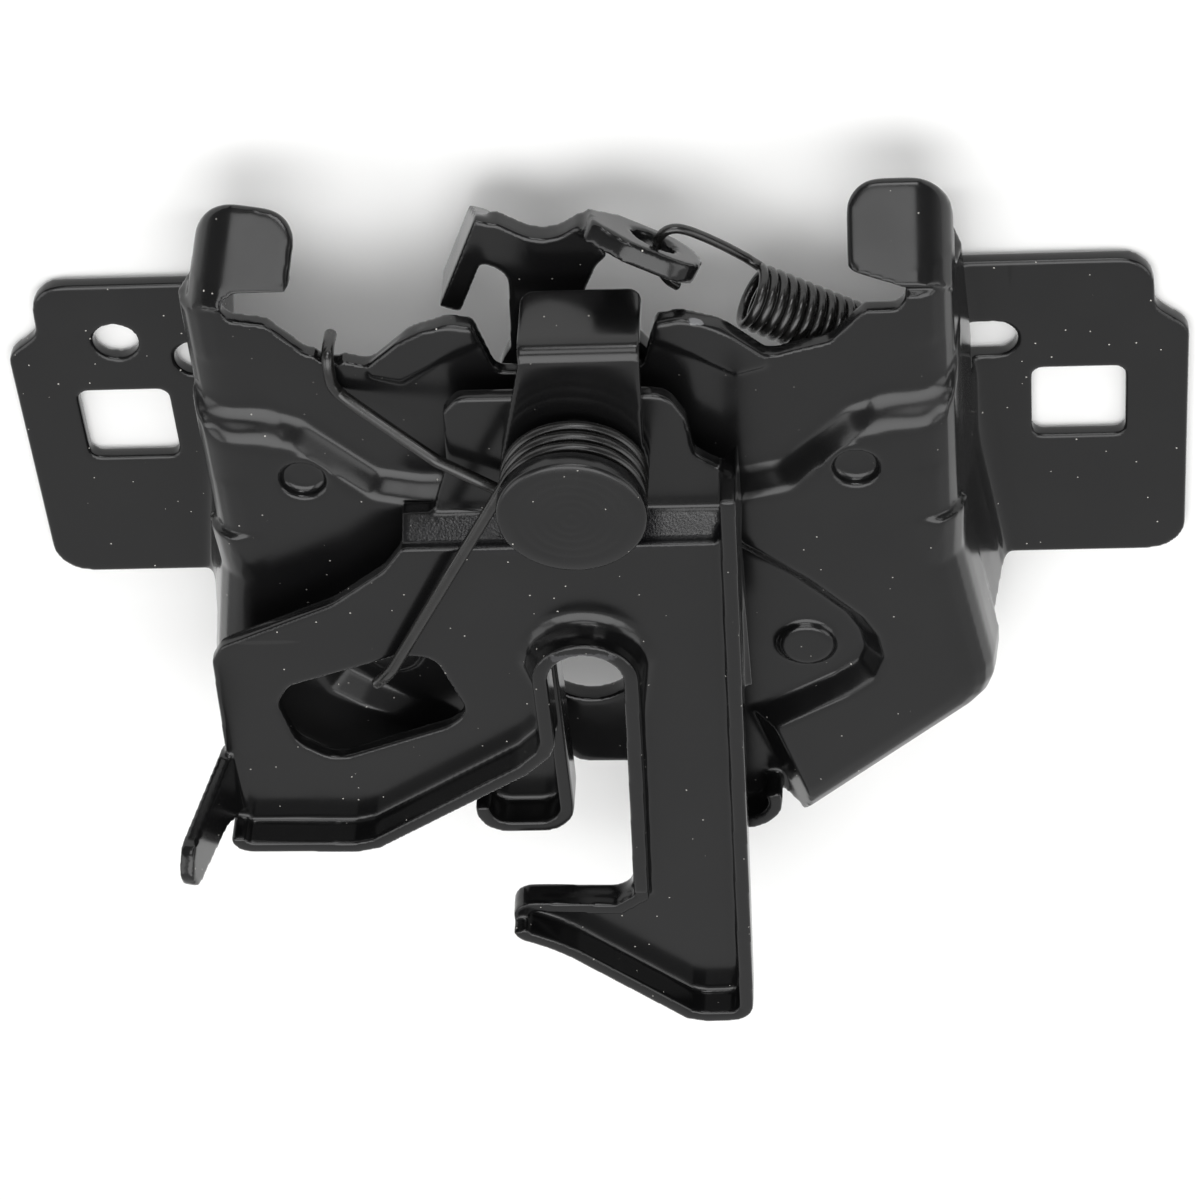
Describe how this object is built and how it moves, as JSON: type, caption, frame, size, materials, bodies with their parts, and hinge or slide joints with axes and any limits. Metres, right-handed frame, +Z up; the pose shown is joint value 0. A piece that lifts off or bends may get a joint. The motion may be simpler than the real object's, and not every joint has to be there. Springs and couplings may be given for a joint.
{
  "type": "bonnet latch",
  "caption": "Stamped black bonnet latch: pan bracket with bolt wings, sprung front safety hook with finger tab, rear primary hook with jaw and return spring.",
  "frame": {"origin": "midway between the two square bolt holes, on the rear mounting plane of the wings", "axes": "+X to the right seen from the front, +Y to the rear out of the mounting plane, +Z up; the front of the latch faces -Y"},
  "size_m": [0.19, 0.0586, 0.1693],
  "materials": {
    "bracket_paint": "semi-gloss black coating on stamped steel",
    "hook_paint": "semi-gloss black coating on stamped steel",
    "lever_paint": "gloss black coating on thick steel",
    "rivet_steel": "black coating over turned rings",
    "dark_steel": "dark phosphated steel",
    "spring_wire": "gloss black coated spring wire"
  },
  "bodies": {
    "bracket": {"main_bracket": "bracket_paint", "stop_plate": "hook_paint", "pivot_rivet": "rivet_steel", "spring_sleeve": "dark_steel", "hook_spacer": "dark_steel", "lever_bush": "dark_steel", "tail_washer": "dark_steel", "torsion_spring": "spring_wire", "extension_spring": "spring_wire"},
    "front_hook": {"safety_hook": "hook_paint"},
    "rear_lever": {"primary_hook": "lever_paint"}
  },
  "joints": [
    {"name": "safety_hook_hinge", "type": "hinge", "parent": "bracket", "child": "front_hook", "pos_m": [-0.001, 0, 0.0184], "axis": [0, -1, 0], "range_deg": [0, 20], "stiffness_Nm_per_rad": 0.35, "springref_deg": -45.84, "deforming": ["torsion_spring"]},
    {"name": "primary_hook_hinge", "type": "hinge", "parent": "bracket", "child": "rear_lever", "pos_m": [-0.001, 0, 0.0184], "axis": [0, -1, 0], "range_deg": [0, 18], "stiffness_Nm_per_rad": 1.6, "springref_deg": -28.65, "deforming": ["extension_spring"]}
  ]
}
